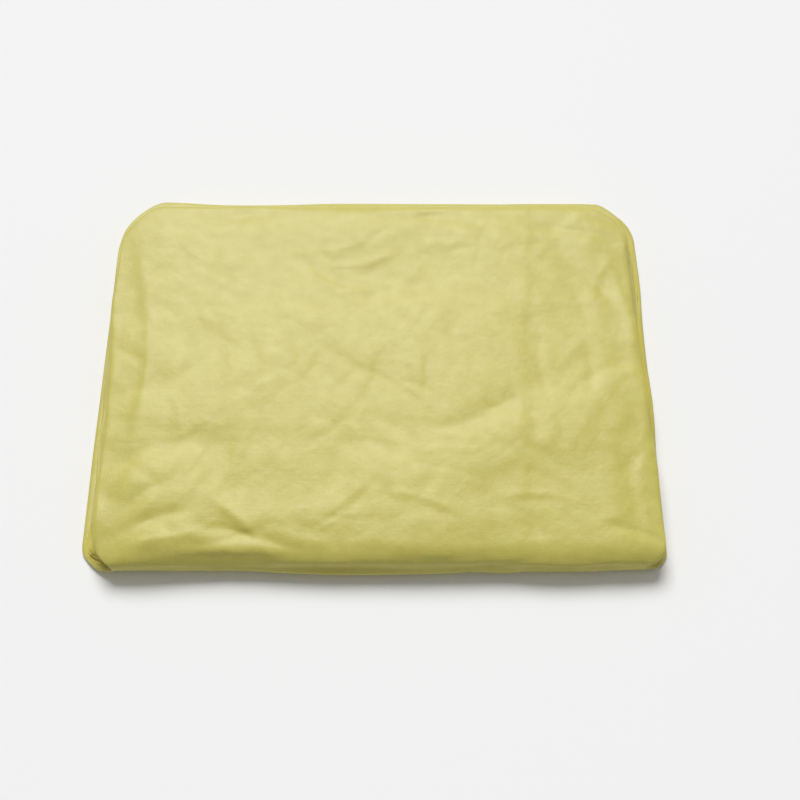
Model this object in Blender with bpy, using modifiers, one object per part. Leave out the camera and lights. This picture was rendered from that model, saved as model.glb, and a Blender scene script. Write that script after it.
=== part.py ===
"""Folded isolation gown of coated nonwoven, lying flat. Metres, +Z up, origin under the middle of the pile.

The gown lies as it is folded for storage: sleeves laid in over the backs, both sides laid in, both ends laid in to the
middle, then closed in half. Only the front panel shows. It is one cloth wall that runs round every fold, and the pieces
inside it share one rounded solid with layered edges. -Y is the near edge, the last fold.
"""
import math

import bmesh
import bpy

# The folded pile
FOLDED_WIDTH = 0.392
FOLDED_DEPTH = 0.310
FOLDED_HEIGHT = 0.022
PILE_SLIT = 0.0006  # between the upper and the lower half
CLOTH_WALL = 0.0014  # before the pile is pressed down, which leaves 1.0 to 1.4 mm
CLEARANCE = 0.0006  # between the cloth and the layers inside it, before the pressing

# The folds
HALF_HEIGHT = (FOLDED_HEIGHT - PILE_SLIT) / 2
NEAR_BEND = FOLDED_HEIGHT / 2  # the last fold, all layers round it: half its height
NEAR_BEND_REACH = 0.0155  # and how far it bulges
FAR_BEND = HALF_HEIGHT / 2  # radius where an end is laid in
FAR_SETBACK = 0.012  # the upper half ends this much short of the lower
SIDE_BEND = 0.0026  # radius where a side is laid in
SIDE_BEND_AT_FAR_FOLD = 0.0015
SIDE_FLAP = 0.0035  # what is built of the cloth laid in at a side
END_TUCK = 0.0015  # the neck end and the hem stop short of the last fold

# Corners, seen from above
FAR_CORNER = {"left": 0.046, "right": 0.036}
NEAR_CORNER = {"left": 0.024, "right": 0.018}
CORNER_START = 0.0015  # rounds off the tip that a sharp corner would have

# How far each stretch of the front panel reaches to the left and right, from the middle of the pile
STRETCH_COLUMNS = ("stretch", "left", "right")
STRETCHES = (
    ("neck end, laid in", 0.1885, 0.1900),
    ("top", 0.1890, 0.1885),
    ("underside", 0.1960, 0.1960),
    ("hem end, laid in", 0.1925, 0.1900),
)

# How far the pile is pressed down, as a share of its height: full behind the near fold, lower at the rims
NEAR_RIM_DROP, NEAR_RIM = 0.10, 0.040
FAR_DROP = 0.12
FAR_RIM_DROP, FAR_RIM = 0.10, 0.040
SIDE_RIM_DROP, SIDE_RIM = 0.12, 0.042
SKEW = -0.024  # the upper half lies a little askew on the lower one: shift along X for a length along Y
TOP_POWER = 3  # swells and creases die away downwards with this power of a layer's level in the pile

# Broad soft swells and hollows of the pile: middle, half lengths along X and Y, height
SWELL_COLUMNS = ("x", "y", "half_x", "half_y", "height")
SWELLS = (
    (-0.060, 0.020, 0.090, 0.070, 0.0009),
    (0.085, -0.055, 0.080, 0.060, 0.0008),
    (0.030, 0.085, 0.110, 0.035, -0.0010),
    (-0.135, -0.095, 0.040, 0.035, 0.0007),
    (0.150, 0.060, 0.030, 0.050, -0.0006),
)

# Main creases pressed into the pile: both ends, half width and depth; a minus depth is a ridge
CREASE_FADE_IN, CREASE_FADE_OUT = (-0.15, 0.25), (0.75, 1.15)  # as shares of a crease's length
CREASE_COLUMNS = ("x0", "y0", "x1", "y1", "half_width", "depth")
CREASES = (
    (-0.178, -0.148, -0.118, -0.118, 0.0085, 0.0011),
    (-0.118, -0.124, -0.050, -0.140, 0.0075, 0.0008),
    (0.120, 0.118, 0.190, 0.098, 0.0080, 0.0010),
    (0.150, 0.052, 0.192, 0.066, 0.0075, 0.0008),
    (0.168, 0.090, 0.176, -0.100, 0.0060, -0.0007),
    (-0.172, 0.100, -0.166, -0.070, 0.0065, -0.0006),
)

# Grid steps. The cloth and the layers inside share their lines, so that facets never cross
RUN_STEPS = 16  # along the top; the other runs take every second line
RUN_CROWDING = 0.55  # lines stand closer at the ends, where the corners are
NEAR_BEND_STEPS = 8
FAR_BEND_STEPS = 6
SIDE_BEND_STEPS = 5
MIDDLE_REACH, MIDDLE_STEPS = 0.132, 10
RIM_STEPS = 3
CORE_CAP_STEPS = 3
CORE_CAP_START = 0.6  # the first ring of a rounded end, in steps from its tip

# The layers inside: how far the edges stay inside the cloth's bends
CORE_INSET = CLOTH_WALL + CLEARANCE
CORE_HALF = HALF_HEIGHT / 2 - CORE_INSET
CORE_NOTCH_SPARE = 0.00025
CORE_NOTCH_HALF = CORE_INSET + CORE_NOTCH_SPARE  # half height of the notch that the laid-in sides reach into
CORE_NOTCH_REACH = 0.0010  # how far the notch's floor reaches beyond the end of a flap, towards the side
CORE_PLAIN_INSET = 2 * SIDE_BEND + SIDE_FLAP - CORE_NOTCH_REACH
CORE_LIP_ANGLES = [math.radians(angle) for angle in (90, 30, -30, -90)]
CORE_LIP_START, CORE_LIP_FULL = 0.034, 0.050  # from the pile's ends
CORE_NOTCH_DEEPER = 0.0010
CORE_CORNER_EXTRA = 0.023  # the corners of the layers inside are rounder than the cloth's

COATED_YELLOW, COATED_ROUGHNESS = (0.61, 0.545, 0.112, 1.0), 0.50
PLAIN_YELLOW, PLAIN_ROUGHNESS = (0.66, 0.57, 0.100, 1.0), 0.75
SHARP_ANGLE = math.radians(50)

UPPER_FAR = FOLDED_DEPTH / 2 - FAR_SETBACK
LOWER_FAR = FOLDED_DEPTH / 2
NEAR_EDGE = -FOLDED_DEPTH / 2
NEAR_BEND_Y = NEAR_EDGE + NEAR_BEND_REACH
MID_HEIGHT = FOLDED_HEIGHT / 2


def named_rows(columns, rows):
    return [dict(zip(columns, row)) for row in rows]


def ramp(value, start, end):
    """0 below start, 1 above end, smooth between."""
    t = min(1.0, max(0.0, (value - start) / (end - start)))
    return t * t * (3 - 2 * t)


def spread(start, end, steps):
    return [start + (end - start) * i / steps for i in range(steps + 1)]


def rounded_reach(reach, inside, corner):
    """Half width of an outline with round corners, at a distance inside its end."""
    d = min(corner, inside + CORNER_START)
    return reach - corner + math.sqrt(corner ** 2 - (corner - d) ** 2)


# ---- the pile's height ----

def swell_height(x, y):
    total = 0.0
    for s in named_rows(SWELL_COLUMNS, SWELLS):
        total += s["height"] * math.exp(-((x - s["x"]) / s["half_x"]) ** 2 - ((y - s["y"]) / s["half_y"]) ** 2)
    return total


def crease_depth(x, y):
    total = 0.0
    for c in named_rows(CREASE_COLUMNS, CREASES):
        along_x, along_y = c["x1"] - c["x0"], c["y1"] - c["y0"]
        length = math.hypot(along_x, along_y)
        t = ((x - c["x0"]) * along_x + (y - c["y0"]) * along_y) / length ** 2
        off = ((x - c["x0"]) * along_y - (y - c["y0"]) * along_x) / length
        fade = ramp(t, *CREASE_FADE_IN) * (1 - ramp(t, *CREASE_FADE_OUT))
        total += c["depth"] * fade * math.exp(-(off / c["half_width"]) ** 2)
    return total


def height_share(x, y):
    """Height of the pile at a place, as a share of FOLDED_HEIGHT, without its swells and creases."""
    share = 1 - FAR_DROP * ramp(y, NEAR_EDGE, LOWER_FAR)
    share *= 1 - NEAR_RIM_DROP * (1 - ramp(y - NEAR_EDGE, 0.0, NEAR_RIM))
    share *= 1 - FAR_RIM_DROP * (1 - ramp(UPPER_FAR - y, -FAR_SETBACK, FAR_RIM))
    return share * (1 - SIDE_RIM_DROP * (1 - ramp(FOLDED_WIDTH / 2 - abs(x), 0.0, SIDE_RIM)))


def press_down(mesh):
    """Lowers every layer to the pile's real height and lays it askew; the underside stays flat and in place."""
    for vertex in mesh.vertices:
        x, y, z = vertex.co
        level = z / FOLDED_HEIGHT
        vertex.co.x = x + SKEW * y * level
        vertex.co.z = z * height_share(x, y) + (swell_height(x, y) - crease_depth(x, y)) * level ** TOP_POWER


# ---- lines and lofts ----

def run_lines(far_end):
    """Lines across the pile, from the last fold to a far fold."""
    length = far_end - FAR_BEND - NEAR_BEND_Y
    shares = [t - RUN_CROWDING * math.sin(math.tau * t) / math.tau for t in spread(0.0, 1.0, RUN_STEPS)]
    return [NEAR_BEND_Y + length * share for share in shares]


def flat_lines(left_reach, right_reach):
    """Lines along the pile: fixed ones over its middle, and a few more out to where the flat run ends."""
    left = spread(-left_reach, -MIDDLE_REACH, RIM_STEPS)
    right = spread(MIDDLE_REACH, right_reach, RIM_STEPS)
    return left[:-1] + spread(-MIDDLE_REACH, MIDDLE_REACH, MIDDLE_STEPS) + right[1:]


def loft(name, rows, closed=False):
    """A mesh through rows of points, all of one length: an open sheet, or a solid through closed rings."""
    bm = bmesh.new()
    grid = [[bm.verts.new(point) for point in row] for row in rows]
    count = len(rows[0])
    for near, far in zip(grid, grid[1:]):
        for i in range(count if closed else count - 1):
            j = (i + 1) % count
            bm.faces.new((near[i], near[j], far[j], far[i]))
    if closed:
        bm.faces.new(grid[0])
        bm.faces.new(grid[-1])
    bmesh.ops.recalc_face_normals(bm, faces=bm.faces)
    mesh = bpy.data.meshes.new(name)
    bm.to_mesh(mesh)
    bm.free()
    return mesh


# ---- the front panel ----

def front_path():
    """Stations along the face of the front panel: place, the face's normal, and how far it reaches left and right.

    It starts at the neck end inside the pile, goes out to the far fold, back over the top, round the last fold, along
    the underside, round the other far fold and in to the hem.
    """
    rows = {row["stretch"]: row for row in named_rows(STRETCH_COLUMNS, STRETCHES)}
    neck, top = rows["neck end, laid in"], rows["top"]
    under, hem = rows["underside"], rows["hem end, laid in"]
    neck_lines = [NEAR_BEND_Y + END_TUCK] + run_lines(UPPER_FAR)[2::2]
    hem_lines = [NEAR_BEND_Y + END_TUCK] + run_lines(LOWER_FAR)[2::2]
    path = []

    def add(y, z, turn, start, end, t, side_bend=SIDE_BEND):
        """turn is the angle of the face's normal, from +Y towards +Z."""
        path.append({
            "y": y, "z": z, "ny": math.cos(turn), "nz": math.sin(turn), "side_bend": side_bend,
            "left": start["left"] + (end["left"] - start["left"]) * t,
            "right": start["right"] + (end["right"] - start["right"]) * t,
        })

    def far_fold(y, z, start, end):
        for i in range(1, FAR_BEND_STEPS):
            t = i / FAR_BEND_STEPS
            turn = math.pi * (t - 0.5)
            side_bend = SIDE_BEND + (SIDE_BEND_AT_FAR_FOLD - SIDE_BEND) * math.cos(turn)
            add(y + FAR_BEND * math.cos(turn), z + FAR_BEND * math.sin(turn), turn, start, end, t, side_bend)

    for y in neck_lines:
        add(y, MID_HEIGHT + PILE_SLIT / 2, -math.pi / 2, neck, neck, 0)
    far_fold(UPPER_FAR - FAR_BEND, MID_HEIGHT + PILE_SLIT / 2 + FAR_BEND, neck, top)
    for y in reversed(run_lines(UPPER_FAR)):
        add(y, FOLDED_HEIGHT, math.pi / 2, top, top, 0)
    for i in range(1, NEAR_BEND_STEPS):
        t = i / NEAR_BEND_STEPS
        turn = math.pi * (t + 0.5)
        y, z = NEAR_BEND_Y + NEAR_BEND_REACH * math.cos(turn), MID_HEIGHT + NEAR_BEND * math.sin(turn)
        add(y, z, turn, top, under, t)
    for y in run_lines(LOWER_FAR)[::2]:
        add(y, 0.0, -math.pi / 2, under, under, 0)
    far_fold(LOWER_FAR - FAR_BEND, FAR_BEND, under, hem)
    for y in reversed(hem_lines):
        add(y, MID_HEIGHT - PILE_SLIT / 2, math.pi / 2, hem, hem, 0)
    return path


def cloth_reach(station, side):
    """Where the cloth reaches at a station, with the pile's round corners taken off."""
    far_end = UPPER_FAR if station["z"] > MID_HEIGHT else LOWER_FAR
    reach = rounded_reach(station[side], far_end - station["y"], FAR_CORNER[side])
    return min(reach, rounded_reach(station[side], station["y"] - NEAR_EDGE, NEAR_CORNER[side]))


def laid_in_side(station, side):
    """The cloth laid in at a side: (reach, depth below the face) round the bend and along the flap."""
    radius = station["side_bend"]
    middle = cloth_reach(station, side) - radius
    points = []
    for i in range(1, SIDE_BEND_STEPS + 1):
        bend = math.pi * i / SIDE_BEND_STEPS
        points.append((middle + radius * math.sin(bend), radius * (1 - math.cos(bend))))
    return points + [(middle - SIDE_FLAP, 2 * radius)]


def front_row(station):
    radius = station["side_bend"]
    flat = flat_lines(cloth_reach(station, "left") - radius, cloth_reach(station, "right") - radius)
    left = [(-reach, depth) for reach, depth in reversed(laid_in_side(station, "left"))]
    across = left + [(x, 0.0) for x in flat] + laid_in_side(station, "right")
    return [(x, station["y"] - station["ny"] * depth, station["z"] - station["nz"] * depth) for x, depth in across]


def build_front():
    """The face of the cloth as one open surface, then its wall on the inner side."""
    face = loft("front_panel_face", [front_row(station) for station in front_path()])
    if max(face.polygons, key=lambda polygon: polygon.center.z).normal.z < 0:
        face.flip_normals()
    obj = bpy.data.objects.new("front_panel", face)
    wall = obj.modifiers.new("wall", "SOLIDIFY")
    wall.thickness = CLOTH_WALL
    wall.offset = -1
    wall.use_even_offset = True
    bpy.context.scene.collection.objects.link(obj)
    mesh = bpy.data.meshes.new_from_object(obj.evaluated_get(bpy.context.evaluated_depsgraph_get()))
    bpy.data.objects.remove(obj)
    bpy.data.meshes.remove(face)
    mesh.name = "front_panel"
    return mesh


# ---- the layers inside ----

def core_path():
    """Stations along the middle of the hidden layers, from the upper far end round the last fold to the lower one."""
    upper_z = MID_HEIGHT + PILE_SLIT / 2 + FAR_BEND
    lower_z = MID_HEIGHT - PILE_SLIT / 2 - FAR_BEND
    stations = []

    def add(y, z, turn, thickness=1.0):
        stations.append({"y": y, "z": z, "ny": math.cos(turn), "nz": math.sin(turn), "thickness": thickness})

    cap_shares = [(i + CORE_CAP_START) / (CORE_CAP_STEPS + CORE_CAP_START) for i in range(CORE_CAP_STEPS)]
    cap_angles = [math.pi / 2 * share for share in cap_shares]
    for angle in cap_angles:
        add(UPPER_FAR - FAR_BEND + CORE_HALF * math.cos(angle), upper_z, math.pi / 2, math.sin(angle))
    for y in reversed(run_lines(UPPER_FAR)):
        add(y, upper_z, math.pi / 2)
    for i in range(1, NEAR_BEND_STEPS):
        turn = math.pi * (i / NEAR_BEND_STEPS + 0.5)
        reach, radius = NEAR_BEND_REACH - FAR_BEND, upper_z - MID_HEIGHT
        add(NEAR_BEND_Y + reach * math.cos(turn), MID_HEIGHT + radius * math.sin(turn), turn)
    for y in run_lines(LOWER_FAR)[::2]:
        add(y, lower_z, -math.pi / 2)
    for angle in reversed(cap_angles):
        add(LOWER_FAR - FAR_BEND + CORE_HALF * math.cos(angle), lower_z, -math.pi / 2, math.sin(angle))
    return stations


def layered_edge(station, side, rows):
    """The edge of the hidden layers at one side, outer face first: (reach, offset from the middle of the bundle).

    Two lips lie in the cloth's side bends, with a notch between them for the sides laid in.
    """
    outer, inner = ("top", "neck end, laid in") if station["nz"] > 0 else ("underside", "hem end, laid in")
    far_end = UPPER_FAR if station["z"] > MID_HEIGHT else LOWER_FAR
    lip_half = (CORE_HALF - CORE_NOTCH_HALF) / 2
    notch = min(rows[outer][side], rows[inner][side]) - CORE_PLAIN_INSET
    lips = []
    for name, sign in ((outer, 1), (inner, -1)):
        y = station["y"] + station["ny"] * station["thickness"] * sign * (CORE_NOTCH_HALF + lip_half)
        from_far, from_near = far_end - y, y - NEAR_EDGE
        plain = min(rounded_reach(notch, from_far, FAR_CORNER[side] + CORE_CORNER_EXTRA),
                    rounded_reach(notch, from_near, NEAR_CORNER[side] + CORE_CORNER_EXTRA))
        longest = rows[name][side] - CORE_INSET - notch
        tip = plain + longest * ramp(min(from_far, from_near), CORE_LIP_START, CORE_LIP_FULL)
        lips.append((sign, plain, tip))
    floor = min(plain for _, plain, _ in lips) - CORE_NOTCH_DEEPER
    edge = []
    for sign, plain, tip in lips:
        root = max(plain, tip - lip_half)
        points = []
        for angle in CORE_LIP_ANGLES:
            points.append((root + (tip - root) * math.cos(angle), CORE_NOTCH_HALF + lip_half * (1 + math.sin(angle))))
        points.append((floor, CORE_NOTCH_HALF))
        edge += points if sign > 0 else [(reach, -offset) for reach, offset in reversed(points)]
    return edge


def core_ring(station, rows):
    """One closed ring round the hidden layers: right edge, inner face, left edge, outer face."""
    right = layered_edge(station, "right", rows)
    left = layered_edge(station, "left", rows)
    inner = flat_lines(left[-1][0], right[-1][0])[1:-1]
    outer = flat_lines(left[0][0], right[0][0])[1:-1]
    ring = right + [(x, -CORE_HALF) for x in reversed(inner)]
    ring += [(-reach, offset) for reach, offset in reversed(left)] + [(x, CORE_HALF) for x in outer]
    ny, nz = station["ny"] * station["thickness"], station["nz"] * station["thickness"]
    return [(x, station["y"] + ny * offset, station["z"] + nz * offset) for x, offset in ring]


def build_hidden_layers():
    rows = {row["stretch"]: row for row in named_rows(STRETCH_COLUMNS, STRETCHES)}
    return loft("hidden_layers", [core_ring(station, rows) for station in core_path()], closed=True)


# ---- materials and scene ----

def cloth_material(name, colour, roughness):
    material = bpy.data.materials.new(name)
    material.use_nodes = True
    shader = material.node_tree.nodes["Principled BSDF"]
    shader.inputs["Base Color"].default_value = colour
    shader.inputs["Roughness"].default_value = roughness
    shader.inputs["Metallic"].default_value = 0.0
    material.diffuse_color = colour
    return material


def add_piece(collection, mesh, material):
    press_down(mesh)
    mesh.materials.append(material)
    mesh.shade_smooth()
    mesh.set_sharp_from_angle(angle=SHARP_ANGLE)
    collection.objects.link(bpy.data.objects.new(mesh.name, mesh))


def main():
    for obj in list(bpy.data.objects):
        bpy.data.objects.remove(obj, do_unlink=True)
    gown = bpy.data.collections.new("folded_isolation_gown")
    bpy.context.scene.collection.children.link(gown)
    add_piece(gown, build_front(), cloth_material("coated_nonwoven", COATED_YELLOW, COATED_ROUGHNESS))
    add_piece(gown, build_hidden_layers(), cloth_material("plain_nonwoven", PLAIN_YELLOW, PLAIN_ROUGHNESS))


main()
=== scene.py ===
# %% [markdown]
# # A folded isolation gown, step by step
#
# The object is a thin disposable gown of pale yellow nonwoven with a clear plastic coat. It is folded for
# storage: the sides are laid in, both ends are laid in to the middle, and the pile is closed in half like a
# book.
#
# A folded pile could be sculpted from a block, or a cloth simulation could press it flat. A block shows no
# true layers at its edges, and some twenty layers that lie on each other make a simulation slow and its
# result a matter of luck. So we take the true flat cut of the front panel and fold it in code, in the order
# in which hands fold the real one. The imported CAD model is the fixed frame. It tells us where the pile
# lies, and we replace its two solids.

# %% Load the fixed frame
import math

import bpy
import numpy as np
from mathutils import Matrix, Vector


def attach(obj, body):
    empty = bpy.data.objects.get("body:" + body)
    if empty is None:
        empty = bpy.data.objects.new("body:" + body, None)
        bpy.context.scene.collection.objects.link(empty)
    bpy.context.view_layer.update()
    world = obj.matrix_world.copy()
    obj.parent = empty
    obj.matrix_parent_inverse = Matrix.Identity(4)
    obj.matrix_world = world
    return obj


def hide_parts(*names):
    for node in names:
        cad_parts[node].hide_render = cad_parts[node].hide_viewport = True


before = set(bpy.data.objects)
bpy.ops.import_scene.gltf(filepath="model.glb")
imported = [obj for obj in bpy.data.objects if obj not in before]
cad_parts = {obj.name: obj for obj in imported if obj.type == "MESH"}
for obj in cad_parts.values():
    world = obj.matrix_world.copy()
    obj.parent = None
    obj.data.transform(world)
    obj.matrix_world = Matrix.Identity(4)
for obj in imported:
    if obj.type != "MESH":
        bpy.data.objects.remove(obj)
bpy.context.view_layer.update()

# %% [markdown]
# ## Camera
#
# The gown is seen from above its near fold. The camera's height angle, distance and lens come from the
# outline of the gown in the photograph: how deep it looks for its width gives the angle, and how much its
# sides run together towards the far end gives the distance. Its target was set last, so that the gown's
# edges lie in the picture where they do in the photograph. An object turned to its target with
# to_track_quat needs no constraint.

# %% Camera at the photograph's angle
CAMERA_ELEVATION = math.radians(59)
CAMERA_DISTANCE = 1.013
CAMERA_TARGET = Vector((0.0175, -0.0295, 0.018))
IMAGE_SIDE_PX = 800
FOCAL_PX = 1452
SENSOR_MM = 36

camera_data = bpy.data.cameras.new("camera")
camera_data.sensor_width = SENSOR_MM
camera_data.lens = FOCAL_PX * SENSOR_MM / IMAGE_SIDE_PX
camera = bpy.data.objects.new("camera", camera_data)
bpy.context.scene.collection.objects.link(camera)
to_camera = Vector((0, -math.cos(CAMERA_ELEVATION), math.sin(CAMERA_ELEVATION)))
camera.location = CAMERA_TARGET + to_camera * CAMERA_DISTANCE
camera.rotation_euler = (-to_camera).to_track_quat("-Z", "Y").to_euler()
bpy.context.scene.camera = camera
print("lens in mm:", round(camera_data.lens, 1))

# %% [markdown]
# ## Floor and light
#
# A plain pale floor and soft studio light. The key light stands behind the gown and high up, so the top is
# bright with a soft sheen and the near fold falls into shade, which is what makes it look thick. A weak
# front light keeps the shade open. Both are far lights of a large angular size: they light the floor evenly
# and their shadows are soft.

# %% Floor
FLOOR_SIDE = 12.0
FLOOR_DROP = 0.0002  # keeps the floor just clear of the gown's flat underside
FLOOR_COLOUR, FLOOR_ROUGHNESS = (0.92, 0.92, 0.92, 1), 0.7

bpy.ops.object.select_all(action="DESELECT")
bpy.ops.mesh.primitive_plane_add(size=FLOOR_SIDE, location=(0, 0, -FLOOR_DROP))
floor = bpy.context.object
floor.name = "floor"
floor_material = bpy.data.materials.new("pale_floor")
floor_material.use_nodes = True
floor_shader = floor_material.node_tree.nodes["Principled BSDF"]
floor_shader.inputs["Base Color"].default_value = FLOOR_COLOUR
floor_shader.inputs["Roughness"].default_value = FLOOR_ROUGHNESS
floor.data.materials.append(floor_material)
print("floor side in m:", round(floor.dimensions.x, 2))

# %% Studio lights
LIGHT_COLUMNS = ("name", "azimuth", "elevation", "angle", "strength")
LIGHTS = (
    ("key_light", math.radians(99), math.radians(50), math.radians(34), 2.70),
    ("front_fill", math.radians(-62), math.radians(38), math.radians(80), 0.10),
)
WORLD_STRENGTH = 0.27


def add_sun(name, azimuth, elevation, angle, strength):
    """A far light of a given angular size, so the floor is lit evenly; azimuth is counted from +X."""
    data = bpy.data.lights.new(name, "SUN")
    data.angle, data.energy = angle, strength
    light = bpy.data.objects.new(name, data)
    towards = Vector((math.cos(azimuth) * math.cos(elevation), math.sin(azimuth) * math.cos(elevation),
                      math.sin(elevation)))
    light.location = 2 * towards
    light.rotation_euler = (-towards).to_track_quat("-Z", "Y").to_euler()
    bpy.context.scene.collection.objects.link(light)


for row in LIGHTS:
    add_sun(**dict(zip(LIGHT_COLUMNS, row)))
world = bpy.data.worlds.new("studio")
world.use_nodes = True
world.node_tree.nodes["Background"].inputs["Color"].default_value = (1, 1, 1, 1)
world.node_tree.nodes["Background"].inputs["Strength"].default_value = WORLD_STRENGTH
bpy.context.scene.world = world
bpy.context.scene.view_settings.view_transform = "Standard"
print("lights:", [row[0] for row in LIGHTS])

# %% [markdown]
# ## The folds' sizes
#
# Everything that follows needs to know how tall the pile is and how tight its folds are. We could measure
# the CAD solids, but their walls are thick stand-ins. So we write the sizes down again, and only the side
# folds differ: they are tighter here, as a single thin sheet folds. The upper half stops short of the lower
# one at the far side, so that both far folds show. Seen from above, the far corners are rounder than the
# near ones, as in the photograph.

# %% Named sizes of the pile
PILE_DEPTH = 0.310
PILE_WIDTH = 0.392
PILE_HEIGHT = 0.022
SLIT = 0.0006
HALF_HEIGHT = (PILE_HEIGHT - SLIT) / 2
MID_HEIGHT = PILE_HEIGHT / 2
NEAR_BEND, NEAR_BEND_REACH = PILE_HEIGHT / 2, 0.0155
FAR_BEND = HALF_HEIGHT / 2
FAR_SETBACK = 0.012
SIDE_BEND = 0.0019
SIDE_BEND_AT_FAR_FOLD = 0.0014
SIDE_FLAP = 0.006
NECK_TUCK, HEM_TUCK, END_CORNER = 0.019, 0.013, 0.009
FAR_CORNER = {"left": 0.046, "right": 0.036}
NEAR_CORNER = {"left": 0.024, "right": 0.018}
CORNER_START = 0.0006

NEAR_EDGE = -PILE_DEPTH / 2
LOWER_FAR = PILE_DEPTH / 2
UPPER_FAR = LOWER_FAR - FAR_SETBACK
NEAR_BEND_Y = NEAR_EDGE + NEAR_BEND_REACH
TOP_RUN = UPPER_FAR - FAR_BEND - NEAR_BEND_Y
UNDER_RUN = LOWER_FAR - FAR_BEND - NEAR_BEND_Y
NEAR_BEND_LENGTH = math.pi * (NEAR_BEND + NEAR_BEND_REACH) / 2
print("runs in mm: top", round(1000 * TOP_RUN, 1), "underside", round(1000 * UNDER_RUN, 1),
      "near fold", round(1000 * NEAR_BEND_LENGTH, 1))

# %% [markdown]
# ## The way along the cloth
#
# Lengthwise folding bends the cloth along a line of straight runs, half circles at the far side and a half
# ellipse at the near side. A curve object could hold that line, but a table says more: a row for each
# stretch, from the neck end inside the pile to the hem inside the pile, with its length, its place and how
# far the cloth reaches to the left and right. Lower layers reach further out than upper ones, and show as
# lips. From the table, a distance along the cloth gives a place in the pile and the direction in which the
# cloth's face looks.

# %% The fold line, stretch by stretch
STRETCH_COLUMNS = ("name", "length", "y", "z", "radius_y", "radius_z", "turn", "left", "right")
STRETCHES = (
    ("neck_end", TOP_RUN - NECK_TUCK, NEAR_BEND_Y + NECK_TUCK, MID_HEIGHT + SLIT / 2,
     0, 0, -0.5, 0.1885, 0.1900),
    ("upper_far_fold", math.pi * FAR_BEND, UPPER_FAR - FAR_BEND, MID_HEIGHT + SLIT / 2 + FAR_BEND,
     FAR_BEND, FAR_BEND, -0.5, 0, 0),
    ("top", TOP_RUN, UPPER_FAR - FAR_BEND, PILE_HEIGHT, 0, 0, 0.5, 0.1890, 0.1885),
    ("near_fold", NEAR_BEND_LENGTH, NEAR_BEND_Y, MID_HEIGHT, NEAR_BEND_REACH, NEAR_BEND, 0.5, 0, 0),
    ("underside", UNDER_RUN, NEAR_BEND_Y, 0.0, 0, 0, -0.5, 0.1960, 0.1960),
    ("lower_far_fold", math.pi * FAR_BEND, LOWER_FAR - FAR_BEND, FAR_BEND, FAR_BEND, FAR_BEND, -0.5, 0, 0),
    ("hem_end", UNDER_RUN - HEM_TUCK, LOWER_FAR - FAR_BEND, MID_HEIGHT - SLIT / 2, 0, 0, 0.5, 0.1925, 0.1900),
)

# %% The stretches one after the other
stretches = [dict(zip(STRETCH_COLUMNS, row)) for row in STRETCHES]
start = 0.0
for index, stretch in enumerate(stretches):
    stretch["start"] = start
    start += stretch["length"]
    if stretch["radius_z"]:  # a bend's reach runs from the stretch before it to the one after it
        for side in ("left", "right"):
            stretch[side] = STRETCHES[index - 1][STRETCH_COLUMNS.index(side)]
            stretch[side + "_end"] = STRETCHES[index + 1][STRETCH_COLUMNS.index(side)]
    else:
        stretch["left_end"], stretch["right_end"] = stretch["left"], stretch["right"]
CLOTH_LENGTH = start
WIDEST_REACH = max(stretch["left"] for stretch in stretches)


# %% From a distance to a place
def along_fold_line(distance):
    """For distances along the cloth: y, z, the face's normal (ny, nz), reach to each side, and side bend."""
    out = {key: np.zeros_like(distance) for key in ("y", "z", "ny", "nz", "left", "right", "side_bend")}
    out["from_end"] = np.minimum(distance, CLOTH_LENGTH - distance)
    for stretch in stretches:
        inside = distance - stretch["start"]
        here = (inside >= -1e-9) & (inside <= stretch["length"] + 1e-9)
        share = np.clip(inside[here] / stretch["length"], 0, 1)
        turn = np.full(share.shape, math.pi * stretch["turn"])
        if stretch["radius_z"]:
            turn += math.pi * share
            out["y"][here] = stretch["y"] + stretch["radius_y"] * np.cos(turn)
            out["z"][here] = stretch["z"] + stretch["radius_z"] * np.sin(turn)
        else:
            forward = -1 if stretch["turn"] > 0 else 1
            out["y"][here] = stretch["y"] + forward * inside[here]
            out["z"][here] = stretch["z"]
        out["ny"][here], out["nz"][here] = np.cos(turn), np.sin(turn)
        for side in ("left", "right"):
            out[side][here] = stretch[side] + (stretch[side + "_end"] - stretch[side]) * share
        tight = np.cos(turn) if stretch["radius_z"] == FAR_BEND else 0.0
        out["side_bend"][here] = SIDE_BEND + (SIDE_BEND_AT_FAR_FOLD - SIDE_BEND) * tight
    return out


# %% [markdown]
# ## Soft unevenness
#
# Cloth is never quite even. A Displace modifier with a noise texture could make it so, but it moves points
# only along their normals, and we need the same unevenness for every layer at a place. So we make our own
# smooth random hills: random heights on a coarse grid, blended between its points. The numbers come from a
# seeded generator, so each run gives the same gown. We use them for wavy lips and, folded over into
# valleys, for the crumple of thin coated cloth.

# %% Smooth random hills
NOISE_CELLS = 64
NOISE_SHIFT = (17.3, 29.7)  # in cells, so that the pile's middle is not at a corner of the table


def hills(u, v, cell_u, cell_v, seed):
    """Smooth heights, about -1 to 1, over any two coordinates; cell_u and cell_v are the hills' sizes."""
    table = np.random.default_rng(seed).uniform(-1, 1, (NOISE_CELLS, NOISE_CELLS))
    gu, gv = u / cell_u + NOISE_SHIFT[0], v / cell_v + NOISE_SHIFT[1]
    iu, iv = np.floor(gu).astype(int), np.floor(gv).astype(int)
    fu, fv = gu - iu, gv - iv
    fu, fv = fu * fu * fu * (fu * (6 * fu - 15) + 10), fv * fv * fv * (fv * (6 * fv - 15) + 10)
    corner = [[table[(iu + i) % NOISE_CELLS, (iv + j) % NOISE_CELLS] for j in (0, 1)] for i in (0, 1)]
    low = corner[0][0] * (1 - fu) + corner[1][0] * fu
    high = corner[0][1] * (1 - fu) + corner[1][1] * fu
    return low * (1 - fv) + high * fv


def ramp(value, low, high):
    """0 below low, 1 above high, smooth between."""
    t = np.clip((value - low) / (high - low), 0, 1)
    return t * t * (3 - 2 * t)


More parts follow.
